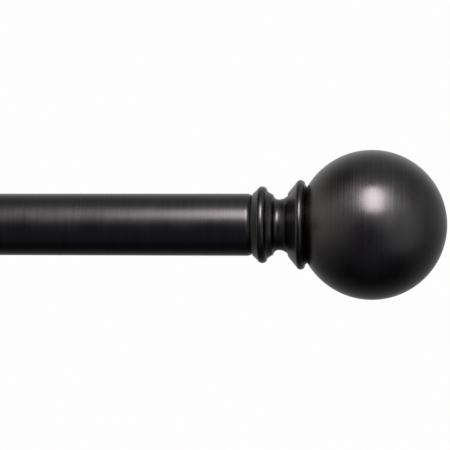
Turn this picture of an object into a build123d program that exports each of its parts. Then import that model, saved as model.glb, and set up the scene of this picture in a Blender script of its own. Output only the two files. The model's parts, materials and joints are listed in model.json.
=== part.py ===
from build123d import *
import math
import os

# Curtain rod with ball finials and two wall brackets, in millimetres.
# The origin is on the wall, midway between the brackets, level with the rod.
# +X runs along the rod, +Z is up and the room lies towards -Y.

# ---- driving dimensions ----------------------------------------------------

inch = 25.4

rod_length = 30 * inch          # tube showing between the two finials
projection = 3.5 * inch         # wall to the rod's axis
bracket_spacing = 18 * inch     # bracket to bracket

tube_wall = 0.8
outer_tube_r = 1.0 * inch / 2
outer_tube_length = 28 * inch
inner_tube_r = 11.1
inner_tube_length = 680.0
tube_lip_length = 1.9           # the tube's end is rolled in over this length
tube_lip_drop = 0.5             # and by this much in radius

running_gap = 0.05              # radial clearance of everything that slides or turns

stud_r = 7.9 / 2                # finial stud, 5/16 in
stud_grip = 14.0                # how deep the stud screws into the rod
plug_length = 18.0
plug_nose_gap = 0.1             # the plug's nose stops this far inside the tube's end
insert_across_flats = 12.7
insert_length = 8.0

washer_r = 11.8
washer_t = 0.6

ball_r = 30.4
ball_wall = 1.0
ball_centre = 48.95             # from the tube's end face
ball_mouth_r = 6.0              # opening in the ball, filled by its boss
boss_length = 14.0              # from the ball's inside

bracket_x = bracket_spacing / 2
tube_end = rod_length / 2
outer_tube_start = tube_end - outer_tube_length

plate_height = 74.0
plate_width = 24.0
plate_t = 2.6
screw_pitch = 48.0
screw_hole_r = 2.3
screw_head_r = 4.1

post_r = 4.75
socket_r = 7.0
socket_mouth = 54.0             # wall to the socket's open end
socket_floor = 6.0
clamp_y = 48.0                  # wall to the projection screw

cup_r = outer_tube_r + 0.25
cup_lift = 0.15                 # the cup's centre stands this far above the rod's axis
cup_wall = 3.2
cup_width = 16.0
cup_height = 9.0
screw_r = 2.0                   # thumbscrew shank

boss_reach = 22.9               # rod's axis to the back of the cradle's rear boss
front_boss_reach = 20.4         # and to the face of its front boss
spigot_r = 3.6                  # post's end, pressed into the rear boss
spigot_length = 6.0
slot_width = 3.4
slot_floor = 3.85               # post's axis to the floor of its slot

pocket_r = 5.0                  # plate's pocket, which the socket's spigot fills
pocket_depth = 1.4
screw_neck_r = 2.15
screw_thread_r = 2.0
screw_length = 30.0             # behind the wall's face
screw_point = 4.0               # length of the screw's point
screw_point_r = 0.3
anchor_r = 3.0
anchor_nose_r = 2.7
anchor_mouth = 2.2              # how far the wall plugs sit below the wall's face


# ---- helpers ----------------------------------------------------------------

def outline(*points):
    """Straight-sided closed outline, drawn as (along the axis, radius)."""
    return make_face(Polyline(*points, close=True))


def turned(face):
    """Turn an outline, drawn as (along the axis, radius), about the X axis."""
    return revolve(face, Axis.X)


def on_sphere(radius, r):
    """Distance along the finial's axis of a ball-centred sphere's left half, at radius r."""
    return ball_centre - math.sqrt(radius**2 - r**2)


def facing_room(part):
    """Turn a part drawn along +X so that it points out of the wall, along -Y."""
    return Rot(0, 0, -90) * part


def facing_down(part):
    """Turn a part drawn along +X so that it points down, along -Z."""
    return Rot(0, 90, 0) * part


# ---- rod ----------------------------------------------------------------------

def tube(radius, length):
    """Steel tube from x = -length to 0, its end at 0 rolled in to a soft lip."""
    bore = radius - tube_wall
    lip_start = -tube_lip_length
    lip_curve = (tube_lip_length**2 + tube_lip_drop**2) / (2 * tube_lip_drop)
    half = lip_start / 2
    half_drop = lip_curve - math.sqrt(lip_curve**2 - (half - lip_start) ** 2)
    edges = (
        Line((-length, bore), (-length, radius))
        + Line((-length, radius), (lip_start, radius))
        + ThreePointArc((lip_start, radius), (half, radius - half_drop), (0, radius - tube_lip_drop))
        + Line((0, radius - tube_lip_drop), (0, bore - tube_lip_drop))
        + ThreePointArc((0, bore - tube_lip_drop), (half, bore - half_drop), (lip_start, bore))
        + Line((lip_start, bore), (-length, bore))
    )
    return turned(make_face(edges))


def end_plug(radius):
    """Nylon plug behind the tube's lip, moulded round a hexagonal nut."""
    bore = radius - tube_wall
    nose = bore - tube_lip_drop
    hole = stud_r + 0.25
    lead_in = 0.6
    body = turned(outline(
        (-plug_length, hole),
        (-plug_length, bore - lead_in),
        (-plug_length + 2 * lead_in, bore),
        (-tube_lip_length, bore),
        (-plug_nose_gap, nose),
        (-plug_nose_gap, hole),
    ))
    return body - insert_blank()


def insert_blank():
    """Hexagonal outside of the plug's threaded insert."""
    hexagon = RegularPolygon(insert_across_flats / 2, 6, major_radius=False)
    return Pos(-stud_grip, 0, 0) * Rot(0, 90, 0) * extrude(hexagon, insert_length)


def plug_insert():
    """Steel nut in the plug; the finial's stud screws into it."""
    hole = Rot(0, 90, 0) * Cylinder(stud_r + running_gap, 3 * insert_length)
    return insert_blank() - Pos(-stud_grip, 0, 0) * hole


def trim_ring():
    """Sleeve and rolled lip in the outer tube's open end, which the inner tube slides through."""
    bore = outer_tube_r - tube_wall
    slide_r = inner_tube_r + running_gap
    lip_length = 1.5
    lip_r = outer_tube_r - 0.2
    lip_round = 1.0
    sleeve_length = 12.0
    face = outline(
        (-lip_length, slide_r),
        (-lip_length, lip_r),
        (0, lip_r),
        (0, bore),
        (sleeve_length, bore),
        (sleeve_length, slide_r),
    )
    rim = [v for v in face.vertices() if v.X < -lip_length / 2 and v.Y > bore]
    return turned(fillet(rim, lip_round))


def tube_glide():
    """Nylon bush on the inner tube's hidden end; it steadies the tube in the outer one."""
    slide_r = outer_tube_r - tube_wall - running_gap
    sleeve_length = 9.0
    cap_length = 3.0
    cap_bevel = 1.0
    back_bevel = 0.4
    cap_wall = 1.0              # how far the cap reaches inside the tube's bore
    hole = inner_tube_r - tube_wall - cap_wall
    return turned(outline(
        (-sleeve_length, inner_tube_r),
        (-sleeve_length, slide_r - back_bevel),
        (-sleeve_length + 2 * back_bevel, slide_r),
        (cap_length - cap_bevel, slide_r),
        (cap_length, slide_r - cap_bevel),
        (cap_length, hole),
        (0, hole),
        (0, inner_tube_r),
    ))


# ---- finial -------------------------------------------------------------------

def finial_washer():
    """Black fibre washer between the tube's end and the finial."""
    hole = stud_r + 0.3
    return turned(outline((0, hole), (0, washer_r), (washer_t, washer_r), (washer_t, hole)))


def finial_neck():
    """Turned collar: a small bead, a hollow waist and a large bead that seats the ball."""
    hole = stud_r + 0.2
    foot_r = 12.7
    small_bead = (4.5, 13.55)
    small_bead_r = 2.1
    small_bead_start = 2.65
    small_bead_end = 6.3
    ledge = (6.4, 13.88)
    ledge_end = (9.0, 11.94)
    waist = (11.2, 10.33)
    waist_end = (15.1, 12.12)
    step_r = 13.1
    large_bead = (20.1, 16.45)
    large_bead_r = 1.8
    large_bead_start = 18.45
    seat_r = 15.5
    seat_mid_r = 10.0
    seat_sphere = ball_r + 0.02

    def bead_point(centre, radius, along):
        return (along, centre[1] + math.sqrt(radius**2 - (along - centre[0]) ** 2))

    small_start = bead_point(small_bead, small_bead_r, small_bead_start)
    small_top = (small_bead[0], small_bead[1] + small_bead_r)
    small_end = bead_point(small_bead, small_bead_r, small_bead_end)
    large_start = bead_point(large_bead, large_bead_r, large_bead_start)
    large_top = (large_bead[0], large_bead[1] + large_bead_r)
    large_end = (large_bead[0] + large_bead_r, large_bead[1])
    seat_top = (on_sphere(seat_sphere, seat_r), seat_r)
    seat_mid = (on_sphere(seat_sphere, seat_mid_r), seat_mid_r)
    seat_end = (on_sphere(seat_sphere, hole), hole)

    edges = (
        Line((washer_t, hole), (washer_t, foot_r))
        + Line((washer_t, foot_r), small_start)
        + ThreePointArc(small_start, small_top, small_end)
        + Line(small_end, ledge)
        + Line(ledge, ledge_end)
        + TangentArc(waist, ledge_end, tangent=(-1, 0.0))
        + TangentArc(waist, waist_end, tangent=(1, 0.0))
        + Line(waist_end, (waist_end[0], step_r))
        + Line((waist_end[0], step_r), large_start)
        + ThreePointArc(large_start, large_top, large_end)
        + Line(large_end, seat_top)
        + ThreePointArc(seat_top, seat_mid, seat_end)
        + Line(seat_end, (washer_t, hole))
    )
    return turned(make_face(edges))


def finial_ball():
    """Spun hollow ball, open round the boss that carries the stud."""
    inside = ball_r - ball_wall
    outer_mouth = (on_sphere(ball_r, ball_mouth_r), ball_mouth_r)
    inner_mouth = (on_sphere(inside, ball_mouth_r), ball_mouth_r)
    edges = (
        ThreePointArc(outer_mouth, (ball_centre, ball_r), (ball_centre + ball_r, 0))
        + Line((ball_centre + ball_r, 0), (ball_centre + inside, 0))
        + ThreePointArc((ball_centre + inside, 0), (ball_centre, inside), inner_mouth)
        + Line(inner_mouth, outer_mouth)
    )
    return turned(make_face(edges))


def ball_boss():
    """Flanged boss brazed inside the ball's mouth and threaded for the stud."""
    inside = ball_r - ball_wall
    barrel_r = ball_mouth_r + 0.5
    flange_r = 11.0
    flange_t = 1.6
    flange_taper = 2.0
    front = on_sphere(ball_r, ball_mouth_r)
    seat = on_sphere(inside, ball_mouth_r)
    rim = on_sphere(inside, flange_r)
    middle_r = (ball_mouth_r + flange_r) / 2
    flange_back = rim + flange_t
    edges = (
        Line((front, stud_r), (front, ball_mouth_r))
        + Line((front, ball_mouth_r), (seat, ball_mouth_r))
        + ThreePointArc((seat, ball_mouth_r), (on_sphere(inside, middle_r), middle_r), (rim, flange_r))
        + Line((rim, flange_r), (flange_back, flange_r))
        + Line((flange_back, flange_r), (flange_back + flange_taper, barrel_r))
        + Line((flange_back + flange_taper, barrel_r), (seat + boss_length, barrel_r))
        + Line((seat + boss_length, barrel_r), (seat + boss_length, stud_r))
        + Line((seat + boss_length, stud_r), (front, stud_r))
    )
    return turned(make_face(edges))


def finial_stud():
    """Stud locked in the ball's boss; its free end screws into the rod's plug."""
    point = 0.8
    recess = 1.0                # the stud stops this far inside the boss
    far_end = on_sphere(ball_r - ball_wall, ball_mouth_r) + boss_length - recess
    return turned(outline(
        (-stud_grip, 0),
        (-stud_grip, stud_r - point),
        (-stud_grip + point, stud_r),
        (far_end - point, stud_r),
        (far_end, stud_r - point),
        (far_end, 0),
    ))


# ---- brackets -----------------------------------------------------------------

def wall_plate():
    """Pressed oblong plate with a rolled edge, two countersunk holes and a pocket for the socket."""
    rolled_edge = 1.6
    sink_r = screw_head_r + 0.2
    sink_depth = sink_r - screw_hole_r
    plate = extrude(Rot(0, 0, 90) * SlotOverall(plate_height, plate_width), plate_t)
    plate = fillet(plate.edges().group_by(Axis.Z)[-1], rolled_edge)
    for side in (-1, 1):
        place = Pos(0, side * screw_pitch / 2, 0)
        plate -= place * Cylinder(screw_hole_r, 4 * plate_t)
        sink = Cone(screw_hole_r, sink_r, sink_depth)
        plate -= place * Pos(0, 0, plate_t - sink_depth / 2) * sink
    plate -= Pos(0, 0, plate_t) * Cylinder(pocket_r, 2 * pocket_depth)
    return Rot(90, 0, 0) * plate


def arm_socket():
    """Turned socket: a flared foot on the plate, a straight tube and a thick clamp collar."""
    foot = (plate_t + 2.4, 10.1)        # the foot's front edge
    foot_r = 10.5
    flare_end = plate_t + 9.0
    collar_r = 8.6
    collar_start = clamp_y - 6.5
    collar_taper = 1.5
    mouth_round = 1.2
    bore = post_r + running_gap
    bore_bevel = 0.5
    spigot_start = plate_t - pocket_depth
    mouth_start = socket_mouth - mouth_round
    mouth_r = collar_r - mouth_round
    edges = (
        Line((spigot_start, 0), (spigot_start, pocket_r))
        + Line((spigot_start, pocket_r), (plate_t, pocket_r))
        + Line((plate_t, pocket_r), (plate_t, foot_r))
        + Line((plate_t, foot_r), foot)
        + TangentArc((flare_end, socket_r), foot, tangent=(-1, 0))
        + Line((flare_end, socket_r), (collar_start - collar_taper, socket_r))
        + Line((collar_start - collar_taper, socket_r), (collar_start, collar_r))
        + Line((collar_start, collar_r), (mouth_start, collar_r))
        + TangentArc((mouth_start, collar_r), (socket_mouth, mouth_r), tangent=(1, 0))
        + Line((socket_mouth, mouth_r), (socket_mouth, bore + bore_bevel))
        + Line((socket_mouth, bore + bore_bevel), (socket_mouth - bore_bevel, bore))
        + Line((socket_mouth - bore_bevel, bore), (socket_floor, bore))
        + Line((socket_floor, bore), (socket_floor, 0))
        + Line((socket_floor, 0), (spigot_start, 0))
    )
    thread = Cylinder(screw_r + running_gap, 2 * collar_r, align=(Align.CENTER, Align.CENTER, Align.MAX))
    return facing_room(turned(make_face(edges)) - Pos(clamp_y, 0, 0) * thread)


def arm_post():
    """Round post that slides in the socket; the projection screw runs in the slot under it."""
    inner_end = socket_floor + 11.0
    shoulder = projection - boss_reach
    slot_start = inner_end + 3.0
    slot_length = 40.0
    lead_in = 0.8
    post = turned(outline(
        (inner_end, 0),
        (inner_end, post_r - lead_in),
        (inner_end + lead_in, post_r),
        (shoulder, post_r),
        (shoulder, spigot_r),
        (shoulder + spigot_length, spigot_r),
        (shoulder + spigot_length, 0),
    ))
    slot = Box(slot_length, slot_width, post_r, align=(Align.MIN, Align.CENTER, Align.MAX))
    return facing_room(post - Pos(slot_start, 0, -slot_floor) * slot)


def cradle():
    """Cast open cup for the rod, tapered to two rounded tips, with a boss behind and one in front."""
    outer_r = cup_r + cup_wall
    tip_width = 12.0
    tip_round = 4.5
    rim_round = 0.9
    wall_height = cup_height - cup_lift
    section = Circle(outer_r) + Rectangle(2 * outer_r, wall_height, align=(Align.CENTER, Align.MIN))
    hollow = Circle(cup_r) + Rectangle(2 * cup_r, 2 * cup_height, align=(Align.CENTER, Align.MIN))
    side = make_face(Polyline(
        (-cup_width / 2, -outer_r),
        (-tip_width / 2, wall_height),
        (tip_width / 2, wall_height),
        (cup_width / 2, -outer_r),
        close=True,
    ))
    tips = [v for v in side.vertices() if v.Y > 0]
    side = fillet(tips, tip_round)
    cup = extrude(Plane.YZ * (section - hollow), cup_width / 2, both=True)
    cup = cup & extrude(Plane.XZ * side, 2 * outer_r, both=True)
    cup = fillet([edge for edge in cup.edges() if is_cup_rim(edge, outer_r)], rim_round)
    cup = Pos(0, 0, cup_lift) * cup
    clear = Pos(0, 0, cup_lift) * extrude(Plane.YZ * hollow, cup_width, both=True)
    body = cup + Rot(0, 0, 90) * rear_boss() + facing_room(front_boss()) - clear
    socket = Rot(0, 90, 0) * Cylinder(spigot_r, spigot_length, align=(Align.CENTER, Align.CENTER, Align.MAX))
    thread = Rot(0, 90, 0) * Cylinder(
        screw_r + running_gap, front_boss_reach + 1, align=(Align.CENTER, Align.CENTER, Align.MIN)
    )
    body -= Rot(0, 0, 90) * Pos(boss_reach, 0, 0) * socket
    return body - facing_room(thread)


def rear_boss():
    """Boss for the post: coved where it leaves the cup, with a bead round its mouth."""
    root = cup_r + cup_wall / 2
    root_r = 6.6
    neck_r = 5.3
    bead_r = 7.4
    mouth_r = 5.8
    cove_end = root + 3.0
    bead_start = cove_end + 0.5
    bead_end = boss_reach - 0.4
    edges = (
        Line((root, 0), (root, root_r))
        + TangentArc((cove_end, neck_r), (root, root_r), tangent=(-1, 0))
        + Line((cove_end, neck_r), (bead_start, neck_r))
        + ThreePointArc(
            (bead_start, neck_r), ((bead_start + bead_end) / 2, bead_r), (bead_end, mouth_r)
        )
        + Line((bead_end, mouth_r), (boss_reach, mouth_r))
        + Line((boss_reach, mouth_r), (boss_reach, 0))
        + Line((boss_reach, 0), (root, 0))
    )
    return turned(make_face(edges))


def front_boss():
    """Boss for the rod lock screw: coved where it leaves the cup, with a chamfered face."""
    root = cup_r + cup_wall / 2
    root_r = 6.4
    body_r = 4.9
    face_bevel = 0.7
    cove_end = root + 3.0
    bevel_start = front_boss_reach - face_bevel
    edges = (
        Line((root, 0), (root, root_r))
        + TangentArc((cove_end, body_r), (root, root_r), tangent=(-1, 0))
        + Line((cove_end, body_r), (bevel_start, body_r))
        + Line((bevel_start, body_r), (front_boss_reach, body_r - face_bevel))
        + Line((front_boss_reach, body_r - face_bevel), (front_boss_reach, 0))
        + Line((front_boss_reach, 0), (root, 0))
    )
    return turned(make_face(edges))


def is_cup_rim(edge, outer_r):
    """True for the edges that run down both sides of the cup's outer skin and round its tips."""
    near = 0.05
    points = (edge @ 0, edge @ 0.5, edge @ 1)
    on_skin = all(math.hypot(point.Y, min(point.Z, 0)) > outer_r - near for point in points)
    return on_skin and abs(points[1].X) > near


def thumb_screw(tip_r, tip_length, reach, head_r, head_t):
    """Screw drawn from its tip outwards, with a lobed head for finger and thumb."""
    lobes = 9
    lobe_gap_r = 0.2 * head_r
    lobe_gap_offset = 0.3
    head_bevel = 0.5
    collar_t = 1.6
    collar_r = 0.7 * head_r
    collar_root_r = 0.55 * head_r
    shank = turned(outline(
        (0, 0),
        (0, tip_r),
        (tip_length, tip_r),
        (tip_length, screw_r),
        (reach - collar_t, screw_r),
        (reach - collar_t, collar_root_r),
        (reach, collar_r),
        (reach, 0),
    ))
    knob = Circle(head_r) - PolarLocations(head_r + lobe_gap_offset, lobes) * Circle(lobe_gap_r)
    head = extrude(knob, head_t)
    head = chamfer(head.edges().group_by(Axis.Z)[-1], head_bevel)
    return shank + Pos(reach, 0, 0) * Rot(0, 90, 0) * head


def rod_lock_screw():
    """Thumbscrew through the cradle's front boss, its tip against the rod."""
    tip = outer_tube_r + running_gap
    head_start = front_boss_reach + 3.4
    screw = thumb_screw(tip_r=1.5, tip_length=0.6, reach=head_start - tip, head_r=6.2, head_t=4.6)
    return facing_room(Pos(tip, 0, 0) * screw)


def projection_screw():
    """Thumbscrew up through the socket's collar, its tip in the post's slot."""
    tip = slot_floor + running_gap
    head_start = 11.6
    screw = thumb_screw(tip_r=1.4, tip_length=1.3, reach=head_start - tip, head_r=5.2, head_t=3.8)
    return Pos(0, -clamp_y, 0) * facing_down(Pos(tip, 0, 0) * screw)


def wall_screws():
    """Two countersunk cross-head screws, drawn into the wall along +Y."""
    head_front = -plate_t + 0.1
    head_depth = screw_head_r - screw_neck_r
    screw = turned(outline(
        (head_front, 0),
        (head_front, screw_head_r),
        (head_front + head_depth, screw_neck_r),
        (0, screw_neck_r),
        (0, screw_thread_r),
        (screw_length - screw_point, screw_thread_r),
        (screw_length, screw_point_r),
        (screw_length, 0),
    ))
    cross_depth = 1.5
    cross_span = 4.4
    cross_width = 0.9
    for turn in (0, 90):
        cross = Box(cross_depth, cross_span, cross_width, align=(Align.MIN, Align.CENTER, Align.CENTER))
        screw -= Pos(head_front, 0, 0) * Rot(turn, 0, 0) * cross
    return pair_up(Rot(0, 0, 90) * screw)


def wall_anchors():
    """Two ribbed nylon plugs with closed noses, set just below the wall's face, one round each screw."""
    ribs = 7
    rib_pitch = 3.0
    rib_depth = 0.5
    rib_back = 0.1              # length of each rib's steep back
    nose_bevel = 0.9
    collar_end = anchor_mouth + 6.0
    nose_start = screw_length + 0.4
    nose_end = nose_start + 5.0
    points = [(anchor_mouth, screw_thread_r), (anchor_mouth, anchor_r), (collar_end, anchor_r)]
    for i in range(ribs):
        valley = collar_end + i * rib_pitch
        points += [(valley + rib_back, anchor_r - rib_depth), (valley + rib_pitch, anchor_r)]
    points += [
        (nose_start, anchor_nose_r),
        (nose_end - nose_bevel, anchor_nose_r),
        (nose_end, anchor_nose_r - nose_bevel),
        (nose_end, 0),
        (screw_length, 0),
        (screw_length, screw_point_r),
        (screw_length - screw_point, screw_thread_r),
    ]
    return pair_up(Rot(0, 0, 90) * turned(outline(*points)))


def pair_up(part):
    """The same part at both screw holes, as two separate solids."""
    return Compound([Pos(0, 0, side * screw_pitch / 2) * part for side in (-1, 1)])


# ---- assembly -------------------------------------------------------------------

def main():
    os.makedirs("parts", exist_ok=True)
    nodes = {}

    right_end = Pos(tube_end, -projection, 0)
    left_end = Pos(-tube_end, -projection, 0) * Rot(0, 0, 180)

    nodes["outer_tube"] = right_end * tube(outer_tube_r, outer_tube_length)
    nodes["outer_tube_plug"] = right_end * end_plug(outer_tube_r)
    nodes["outer_tube_insert"] = right_end * plug_insert()
    nodes["tube_trim_ring"] = Pos(outer_tube_start, -projection, 0) * trim_ring()
    nodes["inner_tube"] = left_end * tube(inner_tube_r, inner_tube_length)
    nodes["inner_tube_plug"] = left_end * end_plug(inner_tube_r)
    nodes["inner_tube_insert"] = left_end * plug_insert()
    nodes["inner_tube_glide"] = Pos(inner_tube_length - tube_end, -projection, 0) * tube_glide()

    for name, end in (("right", right_end), ("left", left_end)):
        nodes[f"{name}_finial_washer"] = end * finial_washer()
        nodes[f"{name}_finial_neck"] = end * finial_neck()
        nodes[f"{name}_finial_ball"] = end * finial_ball()
        nodes[f"{name}_ball_boss"] = end * ball_boss()
        nodes[f"{name}_finial_stud"] = end * finial_stud()

    for name, x in (("right", bracket_x), ("left", -bracket_x)):
        on_wall = Pos(x, 0, 0)
        on_rod = Pos(x, -projection, 0)
        nodes[f"{name}_wall_plate"] = on_wall * wall_plate()
        nodes[f"{name}_arm_socket"] = on_wall * arm_socket()
        nodes[f"{name}_arm_post"] = on_wall * arm_post()
        nodes[f"{name}_cradle"] = on_rod * cradle()
        nodes[f"{name}_projection_screw"] = on_wall * projection_screw()
        nodes[f"{name}_rod_lock_screw"] = on_rod * rod_lock_screw()
        nodes[f"{name}_wall_screws"] = on_wall * wall_screws()
        nodes[f"{name}_wall_anchors"] = on_wall * wall_anchors()

    for name, shape in nodes.items():
        export_step(shape, f"parts/{name}.step")


main()
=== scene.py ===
"""Curtain rod with ball finials and two wall brackets: finish, fine detail, stage and camera."""

import json
import math

import bmesh
import bpy
from bpy.props import FloatProperty, FloatVectorProperty, PointerProperty
from bpy.types import Operator, Panel, PropertyGroup
from mathutils import Matrix, Vector


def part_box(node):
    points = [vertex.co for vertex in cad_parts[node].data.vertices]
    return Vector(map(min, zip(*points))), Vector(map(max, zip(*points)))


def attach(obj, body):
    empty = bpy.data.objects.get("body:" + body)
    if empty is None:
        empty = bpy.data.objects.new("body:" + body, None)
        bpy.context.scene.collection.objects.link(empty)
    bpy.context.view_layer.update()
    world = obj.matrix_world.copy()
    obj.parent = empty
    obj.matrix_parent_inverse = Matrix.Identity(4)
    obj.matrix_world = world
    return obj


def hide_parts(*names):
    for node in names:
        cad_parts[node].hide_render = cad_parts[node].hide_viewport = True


bl_info = {
    "name": "Curtain Rod Builder",
    "version": (1, 0, 0),
    "blender": (4, 5, 0),
    "location": "View3D > Sidebar > Curtain Rod",
    "description": "Dresses a telescoping curtain rod, its ball finials and its wall brackets",
    "category": "Object",
}

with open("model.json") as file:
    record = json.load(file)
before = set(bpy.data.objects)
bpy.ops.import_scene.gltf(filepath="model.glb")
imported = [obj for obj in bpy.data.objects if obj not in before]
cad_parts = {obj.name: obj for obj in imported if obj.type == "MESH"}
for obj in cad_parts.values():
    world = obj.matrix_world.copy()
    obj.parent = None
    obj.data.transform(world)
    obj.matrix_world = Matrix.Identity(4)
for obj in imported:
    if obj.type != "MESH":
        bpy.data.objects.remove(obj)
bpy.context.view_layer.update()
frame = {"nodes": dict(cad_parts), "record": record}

MM = 0.001
SIDES = ("right", "left")

# ---- sizes read from the frame ----

mounts = {mount["name"]: mount for mount in frame["record"]["mounts"]}
ROD_Y = mounts["curtain_track"]["pos_m"][1]
BRACKET_X = mounts["right_plate_back"]["pos_m"][0]


def turned_radius(node):
    """Greatest distance of a turned node's surface from the rod's axis."""
    return max(math.hypot(vert.co.y - ROD_Y, vert.co.z) for vert in frame["nodes"][node].data.vertices)


tube_low, tube_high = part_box("outer_tube")
inner_low, inner_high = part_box("inner_tube")
ball_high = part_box("right_finial_ball")[1]
washer_low, washer_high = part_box("right_finial_washer")
plate_low, plate_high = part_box("right_wall_plate")

TUBE_R = turned_radius("outer_tube")
TUBE_START, TUBE_END = tube_low.x, tube_high.x
INNER_R = turned_radius("inner_tube")
INNER_LENGTH = inner_high.x - inner_low.x
BALL_R = turned_radius("right_finial_ball")
BALL_AT = ball_high.x - BALL_R - TUBE_END
WASHER_R = turned_radius("right_finial_washer")
WASHER_T = washer_high.x - washer_low.x
PLATE_T = plate_high.y - plate_low.y
PLATE_R = (plate_high.x - plate_low.x) / 2
PLATE_REACH = (plate_high.z - plate_low.z) / 2 - PLATE_R

# ---- sizes that pieces share ----

TUBE_WALL = 0.8 * MM
BALL_WALL = 1.0 * MM
BALL_MOUTH = 6.0 * MM
STUD_R = 3.95 * MM
POST_R = 4.75 * MM
BOSS_ROOT = 14.55 * MM          # where the cradle's bosses grow out of its cup, from the rod's axis
BOSS_COVE = 3.0 * MM            # length of the cove there
HOLE_PITCH = 48.0 * MM          # between the two screws of a plate
SCREW_LENGTH = 30.0 * MM
SCREW_POINT = 4.0 * MM

SPIN_STEPS = 128
MERGE = 1e-7                    # points nearer than this are one
CLOSE = 1e-6                    # coordinates nearer than this are the same
ON_AXIS = 1e-9                  # a smaller radius is on the axis


# ---- outlines: points (along the axis, radius) ----

def mm(*values):
    """Sizes given in millimetres."""
    return tuple(value * MM for value in values)


def arc(centre, radius, start, end, steps):
    """Points round a centre, from one angle to another in degrees."""
    angles = [math.radians(start + (end - start) * i / steps) for i in range(steps + 1)]
    return [(centre[0] + radius * math.cos(a), centre[1] + radius * math.sin(a)) for a in angles]


def left_angle(radius, height):
    """Angle in degrees of the point on a circle's left half that stands at a height."""
    return 180 - math.degrees(math.asin(height / radius))


def tangent_arc(start, end, steps):
    """Points of the arc that leaves start along the axis and reaches end."""
    run, rise = end[0] - start[0], end[1] - start[1]
    radius = (run**2 + rise**2) / (2 * rise)
    sweep = math.degrees(math.asin(abs(run) / radius))
    sign = 1 if run > 0 else -1
    return arc((start[0], start[1] + radius), radius, -90, -90 + sign * sweep, steps)


def three_point_arc(start, middle, end, steps):
    """Points of the arc that leaves start, passes through middle and reaches end."""
    (ax, ay), (bx, by), (cx, cy) = start, middle, end
    a, b, c = ax**2 + ay**2, bx**2 + by**2, cx**2 + cy**2
    twice_area = 2 * (ax * (by - cy) + bx * (cy - ay) + cx * (ay - by))
    centre = Vector((
        (a * (by - cy) + b * (cy - ay) + c * (ay - by)) / twice_area,
        (a * (cx - bx) + b * (ax - cx) + c * (bx - ax)) / twice_area,
    ))
    radius = (Vector(start) - centre).length
    points = []
    for first, last in ((start, middle), (middle, end)):
        one, other = (Vector(first) - centre).normalized(), (Vector(last) - centre).normalized()
        for step in range(steps // 2):
            points.append(tuple(centre + one.slerp(other, 2 * step / steps) * radius))
    return points + [end]


def rounded(corners, steps=4):
    """Points of an outline whose corners (along, radius, rounding) are turned into small arcs."""
    points = []
    for i, (along, radius, rounding) in enumerate(corners):
        corner = Vector((along, radius))
        if rounding <= 0:
            points.append(tuple(corner))
            continue
        before = (Vector(corners[i - 1][:2]) - corner).normalized()
        after = (Vector(corners[(i + 1) % len(corners)][:2]) - corner).normalized()
        half = before.angle(after) / 2
        start = corner + before * rounding / math.tan(half)
        end = corner + after * rounding / math.tan(half)
        centre = corner + (before + after).normalized() * rounding / math.sin(half)
        first, last = (start - centre).normalized(), (end - centre).normalized()
        for step in range(steps + 1):
            points.append(tuple(centre + first.slerp(last, step / steps) * rounding))
    return points


# ---- meshes ----

def outward(mesh):
    """Turn the faces of one closed shell outwards."""
    bmesh.ops.recalc_face_normals(mesh, faces=mesh.faces)
    if mesh.calc_volume(signed=True) < 0:
        bmesh.ops.reverse_faces(mesh, faces=mesh.faces)
    return mesh


def spun(points, closed=True, steps=SPIN_STEPS):
    """A mesh turned about X from an outline; it remembers the way along the outline."""
    mesh = bmesh.new()
    way = mesh.verts.layers.float.new("way")
    ring = []
    travelled = 0.0
    for i, (along, radius) in enumerate(points):
        if i:
            travelled += math.dist(points[i], points[i - 1])
        vert = mesh.verts.new((along, radius, 0))
        vert[way] = travelled
        ring.append(vert)
    pairs = list(zip(ring, ring[1:]))
    if closed:
        pairs.append((ring[-1], ring[0]))
    edges = [mesh.edges.new(pair) for pair in pairs if max(pair[0].co.y, pair[1].co.y) > ON_AXIS]
    bmesh.ops.spin(
        mesh, geom=ring + edges, cent=(0, 0, 0), axis=(1, 0, 0), dvec=(0, 0, 0),
        angle=2 * math.pi, steps=steps, use_merge=True, use_duplicate=False,
    )
    bmesh.ops.remove_doubles(mesh, verts=mesh.verts, dist=MERGE)
    return outward(mesh)


def block(size, middle):
    """A box of a size, round its middle."""
    mesh = bmesh.new()
    bmesh.ops.create_cube(mesh, size=1.0)
    bmesh.ops.scale(mesh, verts=mesh.verts, vec=size)
    bmesh.ops.translate(mesh, verts=mesh.verts, vec=middle)
    return mesh


def pull(mesh, faces, way):
    """Extrude faces as one, along a vector."""
    grown = bmesh.ops.extrude_face_region(mesh, geom=faces)["geom"]
    tops = [item for item in grown if isinstance(item, bmesh.types.BMVert)]
    bmesh.ops.translate(mesh, verts=tops, vec=way)


def soften(mesh, edges, offset, segments):
    """Round edges over."""
    bmesh.ops.bevel(
        mesh, geom=edges, offset=offset, offset_type="OFFSET", segments=segments, profile=0.5,
        affect="EDGES", material=-1,
    )


def moved(mesh, x=0.0, y=0.0, z=0.0):
    """Move a mesh."""
    mesh.transform(Matrix.Translation((x, y, z)))
    return mesh


def towards(where, mesh):
    """Turn what was drawn along +X towards the room (-Y), the wall (+Y) or the floor (-Z)."""
    degrees, axis = {"room": (-90, "Z"), "wall": (90, "Z"), "floor": (90, "Y")}[where]
    mesh.transform(Matrix.Rotation(math.radians(degrees), 4, axis))
    return mesh


def lathe_map(mesh):
    """Lay the lathe's map on a mesh drawn about X: along the outline, then round the axis."""
    way = mesh.verts.layers.float.get("way")
    uv = mesh.loops.layers.uv.new("lathe")
    for face in mesh.faces:
        middle = face.calc_center_median()
        centre_turn = math.atan2(middle.z, middle.y)
        for loop in face.loops:
            point = loop.vert.co
            turn = centre_turn
            if math.hypot(point.y, point.z) > MERGE:
                turn = math.atan2(point.z, point.y)
            if turn - centre_turn > math.pi:
                turn -= 2 * math.pi
            if centre_turn - turn > math.pi:
                turn += 2 * math.pi
            along = loop.vert[way] if way else point.x
            loop[uv].uv = (along, turn / (2 * math.pi))
    return mesh


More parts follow.
